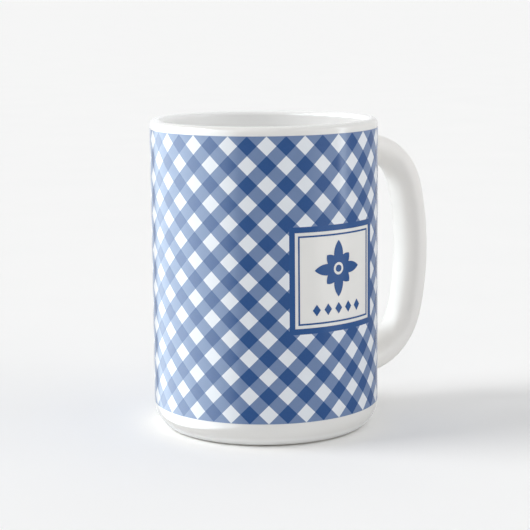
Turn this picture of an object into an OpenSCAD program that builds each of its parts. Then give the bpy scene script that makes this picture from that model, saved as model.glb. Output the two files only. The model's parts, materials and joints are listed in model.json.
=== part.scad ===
// A tall straight-sided ceramic mug: a thrown-shape body with a rounded lip and a curved-in foot,
// a pulled D-shaped handle luted on with slip, and a printed gingham wrap with a framed label.
// Millimetres. The cup's axis is Z, the foot stands on Z = 0, the handle points along +X and the
// label faces -Y.

/* [Body] */
// Outside diameter of the straight wall
body_d = 86; // [70:1:104]
// Height from the foot to the top of the lip
body_h = 117.5; // [95:0.5:145]
// Thickness of the wall
wall = 4; // [3.2:0.1:5]
// Rounding of the lip's outer and inner edges, as far as the wall leaves room for it
lip_r = 1.9; // [0.6:0.1:2.4]
// Thickness of the floor above the foot's recess
floor_t = 4.4; // [3:0.1:7]
// Radius inside, between wall and floor
inner_corner_r = 9; // [5:0.5:14]

/* [Foot] */
// How far the ring that the mug stands on lies inside the wall, measured outside
foot_inset = 5.8; // [2:0.1:7.5]
// Height over which the wall curves in to the foot
foot_curve_h = 9.4; // [7:0.2:13]
// Width of the ring that the mug stands on
foot_ring_w = 3.6; // [2.4:0.1:6]
// Depth of the recess inside the ring
recess_h = 1.8; // [1:0.1:3]

/* [Handle] */
// Width of the handle, across its flat
handle_w = 15.6; // [12:0.2:20]
// Thickness of the handle, from the finger side to the outer side
handle_t = 9.6; // [7.6:0.2:11.6]
// Fullness of the handle's oval section, where 1 is an ellipse and more is squarer
handle_fullness = 1.25; // [1:0.05:1.6]
// How much wider and thicker the handle grows at its roots, as a share of its section
root_flare = 0.12; // [0:0.02:0.2]
// Length of handle over which it grows
root_flare_run = 9; // [4:0.5:14]
// Distance from the wall to the handle's outermost face
handle_reach = 38; // [36:0.5:46]
// Depth of the upper root's centre below the lip
handle_top_drop = 14.1; // [12.5:0.1:24]
// Clear height between the foot's curve and the slip round the lower root
handle_low_gap = 0.2; // [0.1:0.1:10]
// Angle at which the handle rises as it leaves the wall, in degrees
handle_rise = 5; // [0:1:12]
// Bend radius of the upper shoulder, at the middle of the handle
shoulder_r = 23.8; // [18:0.2:26]
// Bend radius of the lower turn, at the middle of the handle
lower_turn_r = 25.3; // [18:0.2:28]
// Angle that the grip leans outwards at its upper end and inwards at its lower end, in degrees
grip_lean = 15; // [8:1:18]

/* [Slip joints] */
// Thickness of the slip between the handle's end and the wall
slip_t = 0.6; // [0.4:0.1:1.2]
// How far the smoothed slip spreads round the handle's end
slip_spread = 2; // [1:0.1:2.6]
// How far the smoothed slip climbs along the handle
slip_climb = 3; // [1.5:0.1:4]

/* [Wrap print] */
// Thickness of the printed layer
print_t = 0.12; // [0.08:0.02:0.3]
// Bare band between the top of the lip and the print
print_top_margin = 3.3; // [2.2:0.1:12]
// Bare band between the foot's curve and the print
print_low_margin = 0.2; // [0.1:0.1:6]
// Bare strip behind the handle, measured round the wall
print_gap_w = 39; // [28:1:70]

/* [Label] */
// Width of the label's frame, round the wall
label_w = 40.2; // [30:0.2:52]
// Height of the label's frame
label_h = 39.2; // [30:0.2:60]
// Width of the frame's solid border
label_border_w = 2.1; // [1:0.1:4]
// Bare strip between the border and the thin line inside it
label_line_gap = 1.2; // [0.6:0.1:3]
// Width of the thin line
label_line_w = 0.6; // [0.3:0.1:1.2]

/* [Motif] */
// Bare height between the thin line and the rosette's top
motif_top_margin = 1.9; // [1:0.1:4]
// Bare height between the row of lozenges and the thin line under it
motif_low_margin = 2.4; // [1:0.1:4]
// Bare width between the thin line and the ends of the row, and the least beside the rosette
motif_side_margin = 5; // [1:0.1:6]
// Bare height between the rosette and the row of lozenges
row_gap = 2.1; // [0.5:0.1:4]
// How much shorter the rosette's short petals are than its long ones
petal_step = 3; // [0:0.1:3.4]
// Width of a petal at its middle
petal_w = 4.2; // [2:0.2:5]
// Bare radius round the rosette's centre
rosette_hole_r = 2.3; // [1.8:0.1:4]
// Radius of the dot at the rosette's centre
rosette_dot_r = 1.3; // [0.6:0.1:1.6]
// Number of lozenges in the row
lozenge_count = 5; // [3:1:7]
// Bare width between two lozenges
lozenge_gap = 1.6; // [0.4:0.1:2]
// Height of a lozenge
lozenge_h = 4.2; // [2:0.1:5]

/* [Hidden] */
$fn = 96;

eps = 0.01;
WALL_SIDES = 240;
body_r = body_d / 2;
inner_r = body_r - wall;
floor_z = recess_h + floor_t;
lip_round = min(lip_r, wall / 2 - 0.05);
foot_r = body_r - foot_inset;
// The foot's curve is the arc that leaves the wall upright and ends on the standing ring.
foot_arc_r = (foot_inset * foot_inset + foot_curve_h * foot_curve_h) / (2 * foot_inset);

// The handle's middle line, in the plane of X and Z, is a short rising straight, the shoulder, the
// long shallow arc of the grip, the lower turn and a level straight back to the wall. The length of
// the upper straight and the radius of the grip follow from the reach and the heights of the roots.
top_root_z = body_h - handle_top_drop;
low_root_z = foot_curve_h + handle_low_gap + slip_spread + handle_t * (1 + root_flare) / 2;
reach_mid = handle_reach - handle_t / 2;
out_left = reach_mid - shoulder_r * (sin(handle_rise) + cos(grip_lean));
down_left = low_root_z + lower_turn_r - top_root_z + shoulder_r * cos(handle_rise)
            - (shoulder_r + lower_turn_r) * sin(grip_lean);
share = -2 * sin(grip_lean) * cos(handle_rise) - (1 - cos(grip_lean)) * sin(handle_rise);
top_run = (-2 * sin(grip_lean) * out_left - (1 - cos(grip_lean)) * down_left) / share;
grip_r = (cos(handle_rise) * down_left - sin(handle_rise) * out_left) / share;
shoulder_c = [body_r + top_run * cos(handle_rise) + shoulder_r * sin(handle_rise),
              top_root_z + top_run * sin(handle_rise) - shoulder_r * cos(handle_rise)];
grip_c = shoulder_c - (grip_r - shoulder_r) * [cos(grip_lean), sin(grip_lean)];
lower_c = grip_c + (grip_r - lower_turn_r) * [cos(grip_lean), -sin(grip_lean)];
low_run = lower_c[0] - body_r;
// Both ends run on past the wall before they are trimmed to it.
root_overrun = 6;
SIDES = 24;
STRAIGHT_STEPS = 3;
BEND_STEPS = 9;
GRIP_STEPS = 10;

print_z0 = foot_curve_h + print_low_margin;
print_z1 = body_h - print_top_margin;
print_mid_z = (print_z0 + print_z1) / 2;
gap_half_deg = print_gap_w / 2 / body_r * 180 / PI;
label_at_deg = 270;
line_inset = label_border_w + label_line_gap;

// The motif fills the panel inside the thin line, up to its margins.
panel_inset = line_inset + label_line_w;
panel_w = label_w - 2 * panel_inset;
panel_h = label_h - 2 * panel_inset;
PETALS = 8;
petal_long = min((panel_h - motif_top_margin - motif_low_margin - row_gap - lozenge_h) / 2,
                 panel_w / 2 - motif_side_margin);
petal_short = petal_long - petal_step;
rosette_up = panel_h / 2 - motif_top_margin - petal_long;
lozenges_down = panel_h / 2 - motif_low_margin - lozenge_h / 2;
lozenge_w = (panel_w - 2 * motif_side_margin - (lozenge_count - 1) * lozenge_gap) / lozenge_count;
lozenge_pitch = lozenge_w + lozenge_gap;

// The body's outside, from the axis outwards.
module outside_profile() {
    translate([0, foot_curve_h]) square([body_r, body_h - foot_curve_h - lip_round]);
    square([foot_r, foot_curve_h + eps]);
    intersection() {
        translate([body_r - foot_arc_r, foot_curve_h]) circle(r = foot_arc_r, $fn = WALL_SIDES);
        square([body_r, foot_curve_h + eps]);
    }
    translate([inner_r + lip_round, foot_curve_h])
        square([wall - 2 * lip_round, body_h - foot_curve_h]);
    for (x = [inner_r + lip_round, body_r - lip_round])
        translate([x, body_h - lip_round]) circle(r = lip_round);
}

// The hollow, from the axis outwards, open above the lip.
module hollow_profile() {
    translate([0, floor_z + inner_corner_r]) square([inner_r, body_h]);
    translate([0, floor_z]) square([inner_r - inner_corner_r, inner_corner_r + eps]);
    translate([inner_r - inner_corner_r, floor_z + inner_corner_r]) circle(r = inner_corner_r);
}

module body() {
    color("#f3f2ee")
    rotate_extrude($fn = WALL_SIDES)
        difference() {
            outside_profile();
            hollow_profile();
            translate([-eps, -eps]) square([foot_r - foot_ring_w + eps, recess_h + eps]);
        }
}

// Stations of the handle's middle line, each [x, z, heading in degrees].
function straight(x, z, heading, length, steps) =
    [for (i = [0:steps]) [x + length * i / steps * cos(heading),
                          z + length * i / steps * sin(heading), heading]];
function turn(centre, radius, from, to, steps) =
    [for (i = [1:steps])
        let (a = from + (to - from) * i / steps)
        [centre[0] + radius * cos(a), centre[1] + radius * sin(a), a - 90]];
function middle_line() =
    let (start = [body_r - root_overrun * cos(handle_rise),
                  top_root_z - root_overrun * sin(handle_rise)])
    concat(straight(start[0], start[1], handle_rise, top_run + root_overrun, STRAIGHT_STEPS),
           turn(shoulder_c, shoulder_r, 90 + handle_rise, grip_lean, BEND_STEPS),
           turn(grip_c, grip_r, grip_lean, -grip_lean, GRIP_STEPS),
           turn(lower_c, lower_turn_r, -grip_lean, -90, BEND_STEPS),
           [for (i = [1:STRAIGHT_STEPS])
               [lower_c[0] - (low_run + root_overrun) * i / STRAIGHT_STEPS, low_root_z, -180]]);

// Growth of the section at a station, easing from the root's flare to none.
function flare_at(x) =
    let (left = max(0, 1 - max(0, x - body_r) / root_flare_run))
    1 + root_flare * left * left * (3 - 2 * left);

// A point of the oval section, thickness first and width second.
function oval(a, t, w) =
    let (c = cos(a), s = sin(a))
    [sign(c) * pow(abs(c), 1 / handle_fullness) * t / 2,
     sign(s) * pow(abs(s), 1 / handle_fullness) * w / 2];

module handle_untrimmed() {
    line = middle_line();
    last = len(line) - 1;
    points = [for (p = line, k = [0:SIDES - 1])
        let (grow = flare_at(p[0]), q = oval(k * 360 / SIDES, handle_t * grow, handle_w * grow))
        [p[0] - q[0] * sin(p[2]), q[1], p[1] + q[0] * cos(p[2])]];
    faces = concat(
        [[for (k = [SIDES - 1:-1:0]) k]],
        [for (i = [0:last - 1], k = [0:SIDES - 1])
            let (n = (k + 1) % SIDES)
            [i * SIDES + n, (i + 1) * SIDES + n, (i + 1) * SIDES + k, i * SIDES + k]],
        [[for (k = [0:SIDES - 1]) last * SIDES + k]]);
    polyhedron(points, faces, convexity = 6);
}

module wall_cylinder(r) {
    translate([0, 0, -eps]) cylinder(r = r, h = body_h + 2 * eps, $fn = WALL_SIDES);
}

module handle() {
    color("#f3f2ee")
    difference() {
        handle_untrimmed();
        wall_cylinder(body_r + slip_t);
    }
}

// A thin plate of the handle's section at a root, grown all round, across the line of the handle.
module root_plate(grow, thickness) {
    t = handle_t * (1 + root_flare) + 2 * grow;
    w = handle_w * (1 + root_flare) + 2 * grow;
    linear_extrude(height = thickness)
        polygon([for (k = [0:SIDES - 1]) let (q = oval(k * 360 / SIDES, t, w)) [-q[0], q[1]]]);
}

// Slip squeezed out round a root and smoothed to a flare, filling the space behind the handle's end.
module slip_joint(root_z, rise) {
    color("#ebe9e3")
    difference() {
        translate([body_r, 0, root_z])
            rotate([0, 90 - rise, 0])
                hull() {
                    translate([0, 0, -root_overrun]) root_plate(slip_spread, root_overrun);
                    root_plate(0, slip_climb);
                }
        wall_cylinder(body_r);
        handle();
    }
}

module upper_slip_joint() { slip_joint(top_root_z, handle_rise); }
module lower_slip_joint() { slip_joint(low_root_z, 0); }

// A thin skin on the wall, from one angle to another and one height to another.
module skin(from_deg, to_deg, low_z, high_z, depth = 0) {
    rotate([0, 0, from_deg])
        rotate_extrude(angle = to_deg - from_deg, $fn = WALL_SIDES)
            translate([body_r - depth, low_z])
                square([print_t + 2 * depth, high_z - low_z]);
}

// The part of the wall's skin that a label rectangle covers, inset all round.
module label_patch(inset, depth = 0) {
    half_deg = (label_w / 2 - inset) / body_r * 180 / PI;
    half_h = label_h / 2 - inset;
    skin(label_at_deg - half_deg, label_at_deg + half_deg,
         print_mid_z - half_h, print_mid_z + half_h, depth);
}

module wrap_print() {
    color("#6f8db4")
    difference() {
        skin(gap_half_deg, 360 - gap_half_deg, print_z0, print_z1);
        label_patch(0, 1);
    }
}

module label_border() {
    color("#2f538b")
    difference() {
        label_patch(0);
        label_patch(label_border_w, 1);
    }
}

module label_line() {
    color("#2f538b")
    difference() {
        label_patch(line_inset);
        label_patch(panel_inset, 1);
    }
}

// A pointed petal along Y from the rosette's centre to its tip.
module petal(length) {
    arc_r = (length * length + petal_w * petal_w) / (4 * petal_w);
    intersection_for (side = [-1, 1])
        translate([side * (arc_r - petal_w / 2), length / 2]) circle(r = arc_r);
}

module rosette() {
    difference() {
        for (i = [0:PETALS - 1])
            rotate(i * 360 / PETALS) petal(i % 2 == 0 ? petal_long : petal_short);
        circle(r = rosette_hole_r);
    }
    circle(r = rosette_dot_r);
}

module lozenge() {
    polygon([[-lozenge_w / 2, 0], [0, -lozenge_h / 2], [lozenge_w / 2, 0], [0, lozenge_h / 2]]);
}

module label_motif() {
    color("#2f538b")
    intersection() {
        label_patch(panel_inset);
        translate([0, 0, print_mid_z])
            rotate([90, 0, 0])
                linear_extrude(height = body_r + 1) {
                    translate([0, rosette_up]) rosette();
                    for (i = [0:lozenge_count - 1])
                        translate([(i - (lozenge_count - 1) / 2) * lozenge_pitch, -lozenges_down])
                            lozenge();
                }
    }
}

body();
handle();
upper_slip_joint();
lower_slip_joint();
wrap_print();
label_border();
label_line();
label_motif();
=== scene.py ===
import json
import math

import bmesh
import bpy
from mathutils import Matrix, Vector


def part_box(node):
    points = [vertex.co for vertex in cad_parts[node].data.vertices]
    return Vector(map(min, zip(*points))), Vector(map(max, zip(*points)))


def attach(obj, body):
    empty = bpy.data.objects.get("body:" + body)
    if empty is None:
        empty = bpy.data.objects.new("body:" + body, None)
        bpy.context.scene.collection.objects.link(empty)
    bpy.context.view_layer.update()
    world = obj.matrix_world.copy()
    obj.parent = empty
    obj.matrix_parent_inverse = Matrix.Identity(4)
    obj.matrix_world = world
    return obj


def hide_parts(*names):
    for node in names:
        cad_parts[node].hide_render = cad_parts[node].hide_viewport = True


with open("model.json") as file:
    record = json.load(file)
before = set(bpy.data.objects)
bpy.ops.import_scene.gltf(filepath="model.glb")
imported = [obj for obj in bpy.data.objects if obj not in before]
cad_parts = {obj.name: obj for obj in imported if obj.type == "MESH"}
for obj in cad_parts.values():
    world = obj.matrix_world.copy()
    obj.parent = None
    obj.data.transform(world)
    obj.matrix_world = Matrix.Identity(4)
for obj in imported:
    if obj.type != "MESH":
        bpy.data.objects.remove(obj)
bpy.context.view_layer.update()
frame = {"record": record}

# Sizes. Lengths are in metres, and what the frame holds is read from it.
MM = 0.001

# Points nearer than this are one point, and a corner sharper than this stays sharp.
FUSE = 1e-6
SHARP_CORNER = math.radians(50)

# The turned body
wall_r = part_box("body")[1].x
mug_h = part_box("body")[1].z
mouth = next(mount for mount in frame["record"]["mounts"] if mount["name"] == "mouth")
inner_r = mouth["dims"]["r_mm"] * MM
LIP_R = 1.9 * MM
FOOT_INSET = 5.8 * MM
FOOT_CURVE_H = 9.4 * MM
FOOT_RING_W = 3.6 * MM
RING_ROUND = 0.6 * MM
RECESS_H = 1.8 * MM
RECESS_ROUND = 1.2 * MM
FLOOR_T = 4.4 * MM
INNER_CORNER_R = 9 * MM
BODY_SEGMENTS = 240
foot_r = wall_r - FOOT_INSET
recess_r = foot_r - FOOT_RING_W
floor_z = RECESS_H + FLOOR_T

# The pulled handle
HANDLE_W = 15.6 * MM
HANDLE_T = 9.6 * MM
HANDLE_FULLNESS = 1.25
ROOT_FLARE = 0.12
ROOT_FLARE_RUN = 9 * MM
HANDLE_TOP_DROP = 14.1 * MM
HANDLE_RISE = math.radians(5)
SHOULDER_R = 23.8 * MM
LOWER_TURN_R = 25.3 * MM
GRIP_LEAN = math.radians(15)
ROOT_SUNK = 1.6 * MM
HANDLE_SIDES = 72
STATION_PITCH = 1 * MM
handle_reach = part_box("handle")[1].x - wall_r
top_root_z = mug_h - HANDLE_TOP_DROP
low_root_z = (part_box("lower_slip_joint")[0].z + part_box("lower_slip_joint")[1].z) / 2

# The slip smoothed round each root
SLIP_SPREAD = 2 * MM
SLIP_CLIMB = 3 * MM
SLIP_SUNK = 0.5 * MM
SLIP_LIFT = 0.01 * MM
SLIP_STEPS = 10

# The printed layer. Places on it are measured round the wall from the label's middle line, and up
# from the middle of the print.
print_low, print_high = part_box("wrap_print")
ink_r = -print_low.x
INK_SUNK = 0.02 * MM
INK_COLUMN = 1 * MM
INK_ROW = 8 * MM
ink_t = ink_r - wall_r + INK_SUNK
print_mid = (print_low.z + print_high.z) / 2
print_h = print_high.z - print_low.z
gap_half = math.acos(print_high.x / ink_r) * wall_r
BORDER_W = 2.1 * MM
LINE_W = 0.6 * MM

# The gingham: this many checks, corner to corner, fill the height of the print, and each edge blurs
# over this width.
CHECKS_HIGH = 7.5
CHECK_EDGE = 0.10 * MM

# The rosette and the row of lozenges under it
PETAL_W = 4.2 * MM
PETAL_STEP = 3 * MM
PETALS = 8
PETAL_POINTS = 24
PETAL_ROWS = 9
HOLE_R = 2.3 * MM
DOT_R = 1.3 * MM
DOT_POINTS = 48
DOT_ROWS = 4
LOZENGES = 5
LOZENGE_POINTS = 5
LOZENGE_W = 3.2 * MM
LOZENGE_H = 4.2 * MM
LOZENGE_GAP = 1.6 * MM
ROW_GAP = 2.1 * MM
motif_low, motif_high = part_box("label_motif")
petal_long = (motif_high.z - motif_low.z - LOZENGE_H - ROW_GAP) / 2
rosette_up = motif_high.z - petal_long - print_mid
row_up = motif_low.z + LOZENGE_H / 2 - print_mid


# Nodes, for finishes and for shapes alike

class Value:
    """An output of a node, on which sums are written as ordinary Python."""

    def __init__(self, graph, socket):
        self.graph = graph
        self.socket = socket

    def maths(self, operation, *operands):
        return self.graph.node("ShaderNodeMath", {"operation": operation}, operands)

    def __add__(self, other):
        return self.maths("ADD", self, other)

    def __radd__(self, other):
        return self.maths("ADD", other, self)

    def __sub__(self, other):
        return self.maths("SUBTRACT", self, other)

    def __rsub__(self, other):
        return self.maths("SUBTRACT", other, self)

    def __mul__(self, other):
        return self.maths("MULTIPLY", self, other)

    def __rmul__(self, other):
        return self.maths("MULTIPLY", other, self)

    def __truediv__(self, other):
        return self.maths("DIVIDE", self, other)

    def __rtruediv__(self, other):
        return self.maths("DIVIDE", other, self)

    def __pow__(self, other):
        return self.maths("POWER", self, other)

    def __abs__(self):
        return self.maths("ABSOLUTE", self)

    def sign(self):
        return self.maths("SIGN", self)

    def rounded(self):
        return self.maths("ROUND", self)

    def sin(self):
        return self.maths("SINE", self)

    def cos(self):
        return self.maths("COSINE", self)

    def larger(self, other):
        return self.maths("MAXIMUM", self, other)

    def from_nearest(self, spacing):
        """How far this is from the nearest whole multiple of the spacing."""
        return self.maths("PINGPONG", self, spacing / 2)

    def clamped(self):
        return self.graph.node("ShaderNodeClamp", None, [self, 0.0, 1.0])

    def parts(self):
        """The X, Y and Z of a vector."""
        return [self.graph.node("ShaderNodeSeparateXYZ", None, [self], i) for i in range(3)]


def pick(sockets, key):
    """A socket by its number, or the one in use that has this name."""
    if isinstance(key, int):
        return sockets[key]
    return next(s for s in sockets if s.enabled and key in (s.name, s.identifier))


class Graph:
    """A tree of nodes, with one method that adds any node to it."""

    def __init__(self, tree):
        self.tree = tree

    def node(self, kind, settings=None, inputs=(), output=0):
        """Adds a node, sets it up, fills its inputs with values or links, and gives an output."""
        made = self.tree.nodes.new(kind)
        for name, setting in (settings or {}).items():
            setattr(made, name, setting)
        for key, given in inputs.items() if isinstance(inputs, dict) else enumerate(inputs):
            socket = pick(made.inputs, key)
            for one in given if isinstance(given, list) else [given]:
                if isinstance(one, Value):
                    self.tree.links.new(one.socket, socket)
                else:
                    socket.default_value = one
        return Value(self, pick(made.outputs, output)) if len(made.outputs) else None

    def point(self, x, y, z):
        return self.node("ShaderNodeCombineXYZ", None, [x, y, z])


# Finishes

def mixed(graph, share, one, other):
    """A colour, from one at a share of 0 to the other at 1."""
    return graph.node("ShaderNodeMix", {"data_type": "RGBA"},
                      {"Factor_Float": share, "A_Color": one, "B_Color": other}, "Result_Color")


def cloud(graph, place, size, detail=2.0):
    """Soft irregular patches of about this size, as a share from 0 to 1."""
    return graph.node("ShaderNodeTexNoise", None,
                      {"Vector": place, "Scale": 1 / size, "Detail": detail})


def new_finish(name):
    """An empty material, with its nodes and the place of each point on the mug."""
    material = bpy.data.materials.new(name)
    material.use_nodes = True
    material.node_tree.nodes.clear()
    graph = Graph(material.node_tree)
    return material, graph, graph.node("ShaderNodeTexCoord", output="Object")


def shade(graph, colour, roughness, relief, **constants):
    """Ends a material in its surface, with this relief in metres."""
    bump = graph.node("ShaderNodeBump", None, {"Distance": 1.0, "Height": relief})
    inputs = {"Base Color": colour, "Roughness": roughness, "Normal": bump}
    inputs.update({name.replace("_", " "): value for name, value in constants.items()})
    surface = graph.node("ShaderNodeBsdfPrincipled", None, inputs)
    graph.node("ShaderNodeOutputMaterial", None, {"Surface": surface})


GLAZE_WHITE = (0.85, 0.845, 0.825, 1)
GLAZE_WARM = (0.835, 0.825, 0.80, 1)
# Painted light: the inside of the cup gets a whiter copy of the glaze, standing in for the light that
# falls into it.
INNER_WHITE_PAINTED_LIGHT = (0.96, 0.96, 0.95, 1)
# Painted light: the handle gets a lighter, warmer copy of the glaze for its shading, though it is the
# same glaze as the body.
HANDLE_WHITE_PAINTED_LIGHT = (0.885, 0.868, 0.84, 1)
PRINT_WHITE = (0.80, 0.84, 0.895, 1)
PRINT_WHITE_WARM = (0.80, 0.832, 0.875, 1)
BARE_CLAY = (0.70, 0.66, 0.60, 1)
BARE_CLAY_DARK = (0.60, 0.555, 0.49, 1)
WRAP_DARK = (0.027, 0.089, 0.264, 1)
WRAP_MID = (0.169, 0.248, 0.426, 1)
LABEL_BLUE = (0.027, 0.093, 0.275, 1)
FLOOR_WHITE = (0.92, 0.92, 0.915, 1)
FLOOR_WHITE_WARM = (0.945, 0.943, 0.935, 1)

# The glaze stops at this height above the foot, over this width, and wanders by this much.
GLAZE_LINE = 0.5 * MM
GLAZE_LINE_BLUR = 0.12 * MM
GLAZE_LINE_DRIFT = 0.25 * MM
# The painted light inside the cup fades in over this width about the lip's crest.
CREST_BLUR = 1 * MM
# The painted light on the handle fades in over this width, out from the wall.
HANDLE_BLUR = 4 * MM

GLAZE_ROUGHNESS = 0.075
SLIP_ROUGHNESS = 0.085
PRINT_ROUGHNESS = 0.10
ROUGHNESS_DRIFT = 0.03
INK_ROUGHER = 0.01
HANDLE_ROUGHER = 0.33
CLAY_ROUGHER = 0.6
COAT_IOR = 1.38
INK_DRIFT = 0.02


def glaze_relief(graph, place):
    """The slow waves and the fine orange peel of a fired glaze, in metres."""
    waves = cloud(graph, place, 14 * MM, 1.0)
    peel = cloud(graph, place, 1.4 * MM, 2.0)
    return waves * (0.02 * MM) + peel * (0.0012 * MM)


def glazed_clay(name):
    """Glossy glaze, left off the standing ring and softer on the handle, with painted light: a whiter
    copy of it inside and a lighter, warmer copy on the handle.
    """
    material, graph, place = new_finish(name)
    x, y, height = place.parts()
    patches = cloud(graph, place, 22 * MM, 3.0)
    outside = mixed(graph, patches, GLAZE_WHITE, GLAZE_WARM)
    reach = (x * x + y * y) ** 0.5
    past_crest = (reach - (wall_r + inner_r) / 2) / CREST_BLUR + 0.5
    on_handle = ((reach - wall_r) / HANDLE_BLUR).clamped()
    # Painted light: the handle, and anything out from the wall, takes the lighter, warmer copy of the
    # glaze. The same mask also makes the handle's glaze rougher.
    outside = mixed(graph, on_handle, outside, HANDLE_WHITE_PAINTED_LIGHT)
    # Painted light: past the lip's crest, the inside takes the whiter copy of the glaze.
    glaze = mixed(graph, past_crest.clamped(), INNER_WHITE_PAINTED_LIGHT, outside)
    grain = cloud(graph, place, 0.35 * MM, 4.0)
    clay = mixed(graph, grain, BARE_CLAY_DARK, BARE_CLAY)
    below_line = GLAZE_LINE - height + (patches - 0.5) * GLAZE_LINE_DRIFT
    bare = (below_line / GLAZE_LINE_BLUR + 0.5).clamped()
    drift = cloud(graph, place, 5 * MM) * ROUGHNESS_DRIFT
    glossy = GLAZE_ROUGHNESS + drift + on_handle * HANDLE_ROUGHER
    relief = glaze_relief(graph, place) + bare * grain * (0.03 * MM)
    shade(graph, mixed(graph, bare, glaze, clay), glossy + bare * CLAY_ROUGHER, relief)
    return material


def smoothed_slip(name):
    """The same glaze over slip that was smoothed round with a wet finger."""
    material, graph, place = new_finish(name)
    smears = cloud(graph, place, 3 * MM, 2.0)
    colour = mixed(graph, smears * 0.7 + 0.1, GLAZE_WHITE, GLAZE_WARM)
    relief = glaze_relief(graph, place) + smears * (0.03 * MM)
    shade(graph, colour, SLIP_ROUGHNESS + smears * ROUGHNESS_DRIFT, relief)
    return material


def on_the_wall(graph):
    """Distance round the wall and height up the print, as the printed layer stores them."""
    stored = graph.node("ShaderNodeAttribute", {"attribute_name": "on_wall"}, output="Vector")
    return stored.parts()[:2]


def inked(graph, colour, share):
    """An ink's colour, a little thinner or thicker from place to place."""
    paler = tuple(channel + (1 - channel) * INK_DRIFT for channel in colour[:3]) + (1,)
    return mixed(graph, share, colour, paler)


def gingham_print(name):
    """Blue and white gingham on the diagonal, under the glossy coat."""
    material, graph, place = new_finish(name)
    around, up = on_the_wall(graph)
    pitch = print_h / CHECKS_HIGH / math.sqrt(2)

    def stripes(across):
        return ((pitch / 4 - across.from_nearest(pitch)) / CHECK_EDGE + 0.5).clamped()

    rising = stripes((around + up) / math.sqrt(2))
    falling = stripes((around - up) / math.sqrt(2))
    density = cloud(graph, place, 0.6 * MM, 3.0) * 0.6 + cloud(graph, place, 30 * MM, 1.0) * 0.4
    ground = mixed(graph, density, PRINT_WHITE, PRINT_WHITE_WARM)
    once = mixed(graph, rising.larger(falling), ground, inked(graph, WRAP_MID, density))
    twice = mixed(graph, rising * falling, once, inked(graph, WRAP_DARK, density))
    drift = cloud(graph, place, 4 * MM) * ROUGHNESS_DRIFT
    glossy = PRINT_ROUGHNESS + drift + rising.larger(falling) * INK_ROUGHER
    shade(graph, twice, glossy, glaze_relief(graph, place), IOR=COAT_IOR)
    return material


def solid_print(name):
    """The label's solid blue."""
    material, graph, place = new_finish(name)
    density = cloud(graph, place, 0.5 * MM, 3.0) * 0.6 + cloud(graph, place, 12 * MM, 1.0) * 0.4
    glossy = PRINT_ROUGHNESS + cloud(graph, place, 4 * MM) * ROUGHNESS_DRIFT
    shade(graph, inked(graph, LABEL_BLUE, density), glossy, glaze_relief(graph, place),
          IOR=COAT_IOR)
    return material


def pale_floor(name):
    """A matte, nearly even white."""
    material, graph, place = new_finish(name)
    patches = cloud(graph, place, 90 * MM, 3.0)
    colour = mixed(graph, patches, FLOOR_WHITE, FLOOR_WHITE_WARM)
    shade(graph, colour, 0.6 + patches * 0.1, patches * (0.002 * MM), Specular_IOR_Level=0.0)
    return material


# Shapes that follow a rule, as Geometry Nodes

SOCKETS = {"length": "NodeSocketFloat", "count": "NodeSocketInt", "finish": "NodeSocketMaterial"}


def shape_tree(name, **kinds):
    """A new shape tree that takes a shape and the named inputs, and all of these as values."""
    tree = bpy.data.node_groups.new(name, "GeometryNodeTree")
    tree.interface.new_socket("shape", in_out="INPUT", socket_type="NodeSocketGeometry")
    tree.interface.new_socket("shape", in_out="OUTPUT", socket_type="NodeSocketGeometry")
    for key, kind in kinds.items():
        tree.interface.new_socket(key, in_out="INPUT", socket_type=SOCKETS[kind])
    graph = Graph(tree)
    entry = tree.nodes.new("NodeGroupInput")
    return graph, [Value(graph, entry.outputs[key]) for key in ("shape", *kinds)]


def close_tree(graph, shape, finish):
    """Ends a shape tree in one closed, smooth mesh with its finish."""
    real = graph.node("GeometryNodeRealizeInstances", None, {"Geometry": shape})
    whole = graph.node("GeometryNodeMergeByDistance", None, {"Geometry": real, "Distance": FUSE})
    smooth = graph.node("GeometryNodeSetShadeSmooth", None, {"Geometry": whole})
    done = graph.node("GeometryNodeSetMaterial", None, {"Geometry": smooth, "Material": finish})
    graph.node("NodeGroupOutput", None, {"shape": done})
    return graph


def grown(name, mesh, graph, **inputs):
    """Runs a shape tree on a mesh and keeps what comes out as a plain object."""
    piece = bpy.data.objects.new(name, mesh)
    bpy.context.scene.collection.objects.link(piece)
    modifier = piece.modifiers.new(graph.tree.name, "NODES")
    modifier.node_group = graph.tree
    for item in graph.tree.interface.items_tree:
        if item.name in inputs:
            modifier[item.identifier] = inputs[item.name]
    bpy.context.view_layer.update()
    shown = piece.evaluated_get(bpy.context.evaluated_depsgraph_get())
    piece_mesh = bpy.data.meshes.new_from_object(shown)
    piece.modifiers.clear()
    piece.data = piece_mesh
    return sharpened(piece)


def sharpened(piece):
    """Keeps a smooth mesh's real corners sharp."""
    piece.data.set_sharp_from_angle(angle=SHARP_CORNER)
    return piece


def lattice(graph, columns, rows):
    """A sheet with this many points each way, and the share of each way that a point is at."""
    sizes = {"Size X": 1.0, "Size Y": 1.0, "Vertices X": columns, "Vertices Y": rows}
    sheet = graph.node("GeometryNodeMeshGrid", None, sizes, "Mesh")
    x, y, _ = graph.node("GeometryNodeInputPosition").parts()
    return sheet, x + 0.5, y + 0.5


def placed(graph, shape, x, y, z):
    return graph.node("GeometryNodeSetPosition", None,
                      {"Geometry": shape, "Position": graph.point(x, y, z)})


def at_station(graph, line, kind, value, index):
    """What a value is at one numbered point of a line."""
    return graph.node("GeometryNodeSampleIndex", {"data_type": kind, "domain": "POINT"},
                      {"Geometry": line, "Value": value, "Index": index}, "Value")


def point_count(graph, line):
    return graph.node("GeometryNodeAttributeDomainSize", None, {"Geometry": line}, "Point Count")


def named_value(graph, name):
    return graph.node("GeometryNodeInputNamedAttribute", {"data_type": "FLOAT"}, {"Name": name},
                      "Attribute")


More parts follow.
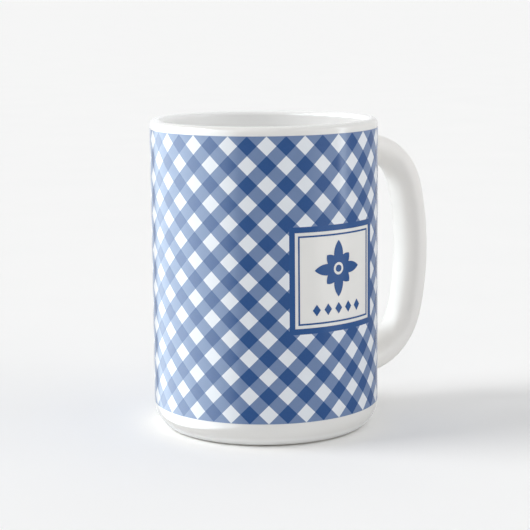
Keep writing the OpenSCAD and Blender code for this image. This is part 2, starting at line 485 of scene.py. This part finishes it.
def turned_tree():
    """Turns an outline drawn in X and Z round the Z axis, as on a wheel."""
    graph, (outline, segments, finish) = shape_tree("turned", segments="count", finish="finish")
    count = point_count(graph, outline)
    sheet, along, around = lattice(graph, count, segments + 1)
    here = graph.node("GeometryNodeInputPosition")
    spot = at_station(graph, outline, "FLOAT_VECTOR", here, (along * (count - 1)).rounded())
    radius, _, height = spot.parts()
    angle = around * -math.tau
    return close_tree(graph, placed(graph, sheet, radius * angle.cos(), radius * angle.sin(),
                                    height), finish)


def strap_tree():
    """Sweeps an oval along a line drawn in X and Z, whose points hold their heading and growth."""
    graph, (line, sides, thickness, width, fullness, finish) = shape_tree(
        "strap", sides="count", thickness="length", width="length", fullness="length",
        finish="finish")
    count = point_count(graph, line)
    sheet, along, around = lattice(graph, count, sides + 1)
    index = (along * (count - 1)).rounded()
    here = graph.node("GeometryNodeInputPosition")
    x, _, z = at_station(graph, line, "FLOAT_VECTOR", here, index).parts()
    heading, growth = [at_station(graph, line, "FLOAT", named_value(graph, name), index)
                       for name in ("heading", "growth")]
    angle = around * math.tau

    def oval(share, size):
        return share.sign() * abs(share) ** (1 / fullness) * size * growth / 2

    across = oval(angle.cos(), thickness)
    side = oval(angle.sin(), width)
    return close_tree(graph, placed(graph, sheet, x - across * heading.sin(), side,
                                    z + across * heading.cos()), finish)


def laid_on_wall(graph, flat, thickness):
    """Thickens flat artwork and bends it round the wall, keeping its flat places for the ink."""
    x, y, z = graph.node("GeometryNodeInputPosition").parts()
    kept = graph.node("GeometryNodeStoreNamedAttribute",
                      {"data_type": "FLOAT_VECTOR", "domain": "POINT"},
                      {"Geometry": flat, "Name": "on_wall", "Value": graph.point(x, y, 0.0)})
    top = graph.node("GeometryNodeExtrudeMesh", {"mode": "FACES"},
                     {"Mesh": kept, "Offset": (0, 0, 1), "Offset Scale": thickness,
                      "Individual": False}, "Mesh")
    base = graph.node("GeometryNodeFlipFaces", None, {"Mesh": kept})
    solid = graph.node("GeometryNodeJoinGeometry", None, {"Geometry": [top, base]})
    angle = x / wall_r
    radius = z + (wall_r - INK_SUNK)
    return placed(graph, solid, radius * angle.sin(), radius * angle.cos() * -1, y + print_mid)


def sheet_tree():
    """Lays a flat sheet of print on the wall."""
    graph, (flat, thickness, finish) = shape_tree("sheet", thickness="length", finish="finish")
    return close_tree(graph, laid_on_wall(graph, flat, thickness), finish)


def rosette(graph, long_petal, petal_step, petal_width, hole):
    """Flat petals, long and short in turn, grown together round an open middle."""
    spacing = math.tau / PETALS
    sheet, around, outwards = lattice(graph, PETALS * PETAL_POINTS + 1, PETAL_ROWS)
    angle = around * math.tau
    off_long = angle.from_nearest(2 * spacing)

    def tip(length, off):
        """How far a petal reaches along a ray that leaves the middle off its own line."""
        lean = (length * length - petal_width * petal_width) / (petal_width * 2)
        return length * off.cos() - lean * off.sin()

    reach = tip(long_petal, off_long).larger(tip(long_petal - petal_step, spacing - off_long))
    radius = hole + outwards * (reach - hole)
    return placed(graph, sheet, radius * angle.sin(), radius * angle.cos() + rosette_up, 0.0)


def dot(graph, size):
    """A flat round dot in the rosette's middle."""
    sheet, around, outwards = lattice(graph, DOT_POINTS + 1, DOT_ROWS)
    angle = around * math.tau
    radius = outwards * size
    return placed(graph, sheet, radius * angle.sin(), radius * angle.cos() + rosette_up, 0.0)


def lozenge_row(graph, count, width, height, gap):
    """A level row of flat lozenges, centred under the rosette."""
    sheet, one, other = lattice(graph, LOZENGE_POINTS, LOZENGE_POINTS)
    lozenge = placed(graph, sheet, (one - other) * width / 2, (one + other - 1) * height / 2, 0.0)
    pitch = width + gap
    start = graph.point((count - 1) * pitch / -2, row_up, 0.0)
    line = graph.node("GeometryNodeMeshLine", {"mode": "OFFSET"},
                      {"Count": count, "Start Location": start,
                       "Offset": graph.point(pitch, 0.0, 0.0)})
    return graph.node("GeometryNodeInstanceOnPoints", None, {"Points": line, "Instance": lozenge})


def motif_tree():
    """The rosette, its dot and the row of lozenges, laid on the wall."""
    graph, values = shape_tree(
        "motif", long_petal="length", petal_step="length", petal_width="length", hole="length",
        dot_radius="length", lozenges="count", lozenge_width="length", lozenge_height="length",
        lozenge_gap="length", thickness="length", finish="finish")
    row = graph.node("GeometryNodeRealizeInstances", None,
                     {"Geometry": lozenge_row(graph, *values[6:10])})
    parts = [rosette(graph, *values[1:5]), dot(graph, values[5]), row]
    joined = graph.node("GeometryNodeJoinGeometry", None, {"Geometry": parts})
    flat = graph.node("GeometryNodeMergeByDistance", None, {"Geometry": joined, "Distance": FUSE})
    return close_tree(graph, laid_on_wall(graph, flat, values[10]), values[11])


# Outlines and lines for the trees to work on

def arc(centre, radius, start, end, steps):
    """Points round a centre between two angles in degrees, both ends among them."""
    angles = [math.radians(start + (end - start) * i / steps) for i in range(steps + 1)]
    return [(centre[0] + radius * math.cos(a), centre[1] + radius * math.sin(a)) for a in angles]


def bend(first, corner, last, steps):
    """Points of the curve that leaves the first towards the corner and comes from it to the last."""
    points = []
    for i in range(steps + 1):
        t = i / steps
        points.append(first * (1 - t) ** 2 + corner * 2 * t * (1 - t) + last * t ** 2)
    return points


def line_mesh(name, points):
    """A mesh of loose points and the edges between them, in X and Z."""
    mesh = bpy.data.meshes.new(name)
    edges = [(i, i + 1) for i in range(len(points) - 1)]
    mesh.from_pydata([(x, 0, z) for x, z in points], edges, [])
    return mesh


def body_outline():
    """The body's outline, from the middle of the recess out, up, over the lip and down inside."""
    foot_arc_r = (FOOT_INSET ** 2 + FOOT_CURVE_H ** 2) / (2 * FOOT_INSET)
    foot_centre = (wall_r - foot_arc_r, FOOT_CURVE_H)
    lowest = math.degrees(-math.asin((FOOT_CURVE_H - RING_ROUND) / foot_arc_r))
    foot_curve = arc(foot_centre, foot_arc_r, lowest, 0, steps=24)
    ring_edge = bend(Vector((foot_r - RING_ROUND, 0)), Vector((foot_r, 0)),
                     Vector(foot_curve[0]), steps=6)
    return [
        (0, RECESS_H),
        *arc((recess_r - RECESS_ROUND, RECESS_H - RECESS_ROUND), RECESS_ROUND, 90, 0, steps=8),
        *arc((recess_r + RING_ROUND, RING_ROUND), RING_ROUND, 180, 270, steps=6)[1:],
        *[tuple(point) for point in ring_edge[:-1]],
        *foot_curve,
        *arc((wall_r - LIP_R, mug_h - LIP_R), LIP_R, 0, 90, steps=14),
        *arc((inner_r + LIP_R, mug_h - LIP_R), LIP_R, 90, 180, steps=14),
        *arc((inner_r - INNER_CORNER_R, floor_z + INNER_CORNER_R), INNER_CORNER_R, 0, -90,
             steps=22),
        (0, floor_z),
    ]


def handle_line():
    """Places and headings along the middle of the handle, from the upper root to the lower one.

    A short rising straight, the shoulder, the long shallow arc of the grip, the lower turn and a
    level straight. The upper straight and the grip's radius follow from the reach and the roots.
    """
    rise, lean = HANDLE_RISE, GRIP_LEAN
    out_left = handle_reach - HANDLE_T / 2 - SHOULDER_R * (math.sin(rise) + math.cos(lean))
    down_left = (low_root_z + LOWER_TURN_R - top_root_z + SHOULDER_R * math.cos(rise)
                 - (SHOULDER_R + LOWER_TURN_R) * math.sin(lean))
    share = -2 * math.sin(lean) * math.cos(rise) - (1 - math.cos(lean)) * math.sin(rise)
    run = (-2 * math.sin(lean) * out_left - (1 - math.cos(lean)) * down_left) / share
    grip_r = (math.cos(rise) * down_left - math.sin(rise) * out_left) / share

    root = Vector((wall_r, top_root_z))
    onwards = Vector((math.cos(rise), math.sin(rise)))
    shoulder = root + onwards * run + Vector((math.sin(rise), -math.cos(rise))) * SHOULDER_R
    grip = shoulder - Vector((math.cos(lean), math.sin(lean))) * (grip_r - SHOULDER_R)
    lower = grip + Vector((math.cos(lean), -math.sin(lean))) * (grip_r - LOWER_TURN_R)

    def swept(centre, radius, start, end):
        steps = math.ceil(radius * abs(end - start) / STATION_PITCH)
        turns = [start + (end - start) * i / steps for i in range(1, steps + 1)]
        return [(centre[0] + radius * math.cos(a), centre[1] + radius * math.sin(a),
                 a - math.pi / 2) for a in turns]

    def straight(start, heading, length):
        steps = math.ceil(length / STATION_PITCH)
        return [(start[0] + length * i / steps * math.cos(heading),
                 start[1] + length * i / steps * math.sin(heading), heading)
                for i in range(1, steps + 1)]

    first = root - onwards * ROOT_SUNK
    half = math.pi / 2
    return [(first[0], first[1], rise),
            *straight(first, rise, run + ROOT_SUNK),
            *swept(shoulder, SHOULDER_R, half + rise, lean),
            *swept(grip, grip_r, lean, -lean),
            *swept(lower, LOWER_TURN_R, -lean, -half),
            *straight((lower[0], low_root_z), -math.pi, lower[0] - wall_r + ROOT_SUNK)]


def growth_at(x):
    """How much the handle's section has grown at this distance from the cup's axis."""
    left = max(0, 1 - max(0, x - wall_r) / ROOT_FLARE_RUN)
    return 1 + ROOT_FLARE * left * left * (3 - 2 * left)


def stops_between(ends, longest):
    """Rising places that take in all the ends, with no gap longer than the longest."""
    places = [ends[0]]
    for low, high in zip(ends, ends[1:]):
        steps = math.ceil((high - low) / longest)
        places += [low + (high - low) * i / steps for i in range(1, steps + 1)]
    return places


def flat_sheet(name, left, right, half_h, window_w, window_h):
    """A flat sheet in X and Y round a rectangular window at its origin."""
    columns = stops_between([left, -window_w, window_w, right], INK_COLUMN)
    rows = stops_between([-half_h, -window_h, window_h, half_h], INK_ROW)
    faces = []
    for i in range(len(columns) - 1):
        for j in range(len(rows) - 1):
            across = (columns[i] + columns[i + 1]) / 2
            up = (rows[j] + rows[j + 1]) / 2
            if abs(across) > window_w or abs(up) > window_h:
                corner = i * len(rows) + j
                faces.append((corner, corner + len(rows), corner + len(rows) + 1, corner + 1))
    mesh = bpy.data.meshes.new(name)
    mesh.from_pydata([(x, y, 0) for x in columns for y in rows], [], faces)
    spare = bmesh.new()
    spare.from_mesh(mesh)
    bmesh.ops.delete(spare, geom=[v for v in spare.verts if not v.link_faces], context="VERTS")
    spare.to_mesh(mesh)
    spare.free()
    return mesh


# Pieces

def stands_for(piece, node):
    """Fixes a piece to the mug in place of its plain node."""
    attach(piece, "root")
    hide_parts(node)
    return piece


def turned_body(finish):
    """The whole clay cup, turned from its outline."""
    outline = line_mesh("body_outline", body_outline())
    piece = grown("turned_body", outline, turned_tree(), segments=BODY_SEGMENTS, finish=finish)
    return stands_for(piece, "body")


def pulled_handle(finish):
    """The strap, whose doubled end points have no section and so close its ends."""
    line = handle_line()
    line = [line[0], *line, line[-1]]
    mesh = line_mesh("handle_line", [(x, z) for x, z, _ in line])
    heading = mesh.attributes.new("heading", "FLOAT", "POINT")
    growth = mesh.attributes.new("growth", "FLOAT", "POINT")
    for i, (x, _, angle) in enumerate(line):
        heading.data[i].value = angle
        growth.data[i].value = growth_at(x) if 0 < i < len(line) - 1 else 0.0
    piece = grown("pulled_handle", mesh, strap_tree(), sides=HANDLE_SIDES, thickness=HANDLE_T,
                  width=HANDLE_W, fullness=HANDLE_FULLNESS, finish=finish)
    return stands_for(piece, "handle")


def slip_collar(name, node, root_z, rise, finish):
    """Slip smoothed from the wall up onto the handle, all round a root."""
    onwards = Vector((math.cos(rise), 0, math.sin(rise)))
    across = Vector((-math.sin(rise), 0, math.cos(rise)))
    root = Vector((wall_r, 0, root_z))

    def section(angle, inset):
        c, s = math.cos(angle), math.sin(angle)
        reach = 1 / HANDLE_FULLNESS
        thick = math.copysign(abs(c) ** reach, c) * (HANDLE_T * (1 + ROOT_FLARE) / 2 - inset)
        wide = math.copysign(abs(s) ** reach, s) * (HANDLE_W * (1 + ROOT_FLARE) / 2 - inset)
        return across * thick + Vector((0, wide, 0))

    def on_handle(angle, climb, inset):
        """The handle's surface, this far along it from the wall."""
        offset = section(angle, inset)
        wall_x = math.sqrt(wall_r ** 2 - offset.y ** 2)
        run = (wall_x - root.x - offset.x) / onwards.x + climb
        shrink = growth_at(wall_r + max(0, run)) / (1 + ROOT_FLARE)
        return root + offset * shrink + onwards * run

    def on_wall(angle, spread, depth):
        """The wall, this far out from where the handle meets it."""
        step = math.tau / HANDLE_SIDES / 2
        here = on_handle(angle, 0, 0)
        along = on_handle(angle + step, 0, 0) - on_handle(angle - step, 0, 0)
        outward = Vector((here.x, here.y, 0)).normalized()
        away = along.cross(outward).normalized() * -spread
        spot = here + away
        level = Vector((spot.x, spot.y, 0)).normalized() * (wall_r - depth)
        return Vector((level.x, level.y, spot.z))

    rings = []
    for k in range(HANDLE_SIDES):
        angle = math.tau * (k + 0.5) / HANDLE_SIDES
        rings.append([*bend(on_wall(angle, SLIP_SPREAD, SLIP_LIFT), on_handle(angle, 0, 0),
                            on_handle(angle, SLIP_CLIMB, SLIP_LIFT), SLIP_STEPS),
                      on_handle(angle, SLIP_CLIMB, SLIP_SUNK),
                      on_handle(angle, -SLIP_SUNK, SLIP_SUNK),
                      on_wall(angle, SLIP_SPREAD, SLIP_SUNK)])
    size = len(rings[0])
    faces = []
    for k in range(HANDLE_SIDES):
        after = (k + 1) % HANDLE_SIDES
        for i in range(size):
            n = (i + 1) % size
            faces.append((k * size + i, after * size + i, after * size + n, k * size + n))
    mesh = bpy.data.meshes.new(name)
    mesh.from_pydata([point for ring in rings for point in ring], [], faces)
    whole = bmesh.new()
    whole.from_mesh(mesh)
    bmesh.ops.recalc_face_normals(whole, faces=whole.faces)
    whole.to_mesh(mesh)
    whole.free()
    mesh.shade_smooth()
    mesh.materials.append(finish)
    piece = bpy.data.objects.new(name, mesh)
    bpy.context.scene.collection.objects.link(piece)
    return stands_for(sharpened(piece), node)


def gingham_wrap(tree, finish, window_w, window_h):
    """The sheet all round, but for the bare strip a quarter turn from the label's middle."""
    quarter = wall_r * math.pi / 2
    flat = flat_sheet("wrap_sheet", gap_half - 3 * quarter, quarter - gap_half, print_h / 2,
                      window_w, window_h)
    piece = grown("gingham_wrap", flat, tree, thickness=ink_t, finish=finish)
    return stands_for(piece, "wrap_print")


def label_ring(name, node, tree, finish, half_w, half_h, width):
    """A rectangular ring of solid ink on the label."""
    flat = flat_sheet(name + "_sheet", -half_w, half_w, half_h, half_w - width, half_h - width)
    piece = grown(name, flat, tree, thickness=ink_t, finish=finish)
    return stands_for(piece, node)


def label_motif(finish):
    piece = grown("label_rosette", bpy.data.meshes.new("motif_start"), motif_tree(),
                  long_petal=petal_long, petal_step=PETAL_STEP, petal_width=PETAL_W, hole=HOLE_R,
                  dot_radius=DOT_R, lozenges=LOZENGES, lozenge_width=LOZENGE_W,
                  lozenge_height=LOZENGE_H, lozenge_gap=LOZENGE_GAP, thickness=ink_t,
                  finish=finish)
    return stands_for(piece, "label_motif")


def half_size(node):
    """Half the width round the wall and half the height of a centred printed node."""
    low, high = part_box(node)
    return math.asin(high.x / ink_r) * wall_r, (high.z - low.z) / 2


def build_mug():
    glaze = glazed_clay("white_glaze")
    slip = smoothed_slip("smoothed_slip")
    gingham = gingham_print("gingham_print")
    blue = solid_print("blue_print")
    turned_body(glaze)
    pulled_handle(glaze)
    slip_collar("upper_slip", "upper_slip_joint", top_root_z, HANDLE_RISE, slip)
    slip_collar("lower_slip", "lower_slip_joint", low_root_z, 0.0, slip)
    tree = sheet_tree()
    label_size = half_size("label_border")
    gingham_wrap(tree, gingham, *label_size)
    label_ring("label_frame", "label_border", tree, blue, *label_size, BORDER_W)
    label_ring("label_fine_line", "label_line", tree, blue, *half_size("label_line"), LINE_W)
    label_motif(blue)


# Floor, light and camera

CAMERA_BEARING = -128.4
CAMERA_DISTANCE = 630 * MM
CAMERA_HEIGHT = 164.8 * MM
CAMERA_PITCH = math.radians(9.34)
CAMERA_ROLL = math.radians(-0.52)
CAMERA_LENS = 113.1
SENSOR = 36
ROOM_LIGHT = 0.50
ROOM_DIM = 0.34
ROOM_RIGHT = 0.15
ROOM_BELOW = 0.35
ROOM_WHITE = (0.985, 0.99, 1.0, 1)
HORIZON_SHARPNESS = 6
BEHIND_NARROWNESS = 8
CARD_COLOUR = (0.97, 1.09, 1.15)
FLOOR_HALF = 60.0


def round_the_mug(bearing, distance, height):
    """A place by its bearing from the cup's axis, in degrees from the handle."""
    angle = math.radians(bearing)
    return Vector((distance * math.cos(angle), distance * math.sin(angle), height))


def pale_ground():
    """A floor that reaches far off, and that doesn't show in reflections."""
    half = FLOOR_HALF
    mesh = bpy.data.meshes.new("floor")
    mesh.from_pydata([(-half, -half, 0), (half, -half, 0), (half, half, 0), (-half, half, 0)],
                     [], [(0, 1, 2, 3)])
    mesh.materials.append(pale_floor("pale_floor"))
    floor = bpy.data.objects.new("floor", mesh)
    bpy.context.scene.collection.objects.link(floor)
    floor.visible_glossy = False


def graded_card(name, bearing, distance, height, width, tall, watts):
    """A soft upright lamp that only shows as a reflection, and fades towards its two sides.

    It faces the cup's axis. Its bearing is in degrees from the camera's, and left of the camera
    is negative.
    """
    lamp = bpy.data.lights.new(name, "AREA")
    lamp.shape = "RECTANGLE"
    lamp.size = width
    lamp.size_y = tall
    lamp.energy = watts
    lamp.color = CARD_COLOUR
    lamp.use_nodes = True
    lamp.node_tree.nodes.clear()
    graph = Graph(lamp.node_tree)
    across = graph.node("ShaderNodeNewGeometry", output="Parametric").parts()[0]
    fade = (1 - abs(across - 0.5) * 2).clamped()
    light = graph.node("ShaderNodeEmission", None, {"Strength": fade})
    graph.node("ShaderNodeOutputLight", None, {"Surface": light})
    box = bpy.data.objects.new(name, lamp)
    bpy.context.scene.collection.objects.link(box)
    box.location = round_the_mug(CAMERA_BEARING + bearing, distance, height)
    facing = Vector((-box.location.x, -box.location.y, 0))
    box.rotation_euler = facing.to_track_quat("-Z", "Y").to_euler()
    box.visible_camera = False
    box.visible_diffuse = False


def window(name, bearing, elevation, spread, strength):
    """Soft light from far off, at a bearing from the camera's, an elevation and a spread in degrees."""
    lamp = bpy.data.lights.new(name, "SUN")
    lamp.angle = math.radians(spread)
    lamp.energy = strength
    source = bpy.data.objects.new(name, lamp)
    bpy.context.scene.collection.objects.link(source)
    rise = math.radians(elevation)
    towards = round_the_mug(CAMERA_BEARING + bearing, math.cos(rise), math.sin(rise))
    source.rotation_euler = (-towards).to_track_quat("-Z", "Y").to_euler()


def pale_room():
    """A room all round: dimmer on the camera's side, and brighter on the right.

    It is dim below the horizon too, except straight behind the mug.
    """
    world = bpy.data.worlds.new("pale_room")
    world.use_nodes = True
    world.node_tree.nodes.clear()
    graph = Graph(world.node_tree)
    x, y, z = graph.node("ShaderNodeTexCoord", output="Generated").parts()
    camera_way = round_the_mug(CAMERA_BEARING, 1, 0)
    right_way = round_the_mug(CAMERA_BEARING + 90, 1, 0)
    strength = (ROOM_LIGHT - (x * camera_way.x + y * camera_way.y) * ROOM_DIM
                + (x * right_way.x + y * right_way.y) * ROOM_RIGHT)
    behind = (x * -camera_way.x + y * -camera_way.y).larger(0.0) ** BEHIND_NARROWNESS
    below = ROOM_BELOW + behind * (1 - ROOM_BELOW)
    above = (z * HORIZON_SHARPNESS + 1).clamped()
    light = graph.node("ShaderNodeBackground", None,
                       {"Color": ROOM_WHITE,
                        "Strength": strength * (above + (1 - above) * below)})
    graph.node("ShaderNodeOutputWorld", None, {"Surface": light})
    bpy.context.scene.world = world


def light_the_stage():
    pale_room()
    window("window", bearing=-88, elevation=33, spread=36, strength=1.75)
    window("left_fill", bearing=-18, elevation=40, spread=60, strength=0.5)
    window("right_fill", bearing=72, elevation=22, spread=70, strength=0.72)
    graded_card("left_card", bearing=-85, distance=0.6, height=0.1, width=2.2, tall=1.2, watts=68)
    graded_card("far_left_card", bearing=-150, distance=0.6, height=0.1, width=0.9, tall=1.2,
                watts=1.6)
    graded_card("right_card", bearing=78, distance=0.25, height=0.16, width=0.06, tall=0.2,
                watts=0.13)


def place_camera():
    """The camera looks at the cup from the label's left, and a little down."""
    lens = bpy.data.cameras.new("camera")
    lens.lens = CAMERA_LENS
    lens.sensor_width = SENSOR
    lens.clip_start = 0.01
    camera = bpy.data.objects.new("camera", lens)
    bpy.context.scene.collection.objects.link(camera)
    heading = math.radians(CAMERA_BEARING + 90)
    camera.matrix_world = (
        Matrix.Translation(round_the_mug(CAMERA_BEARING, CAMERA_DISTANCE, CAMERA_HEIGHT))
        @ Matrix.Rotation(heading, 4, "Z")
        @ Matrix.Rotation(math.pi / 2 - CAMERA_PITCH, 4, "X")
        @ Matrix.Rotation(CAMERA_ROLL, 4, "Z"))
    bpy.context.scene.camera = camera


place_camera()
pale_ground()
light_the_stage()
build_mug()
bpy.context.scene.view_settings.view_transform = "Standard"
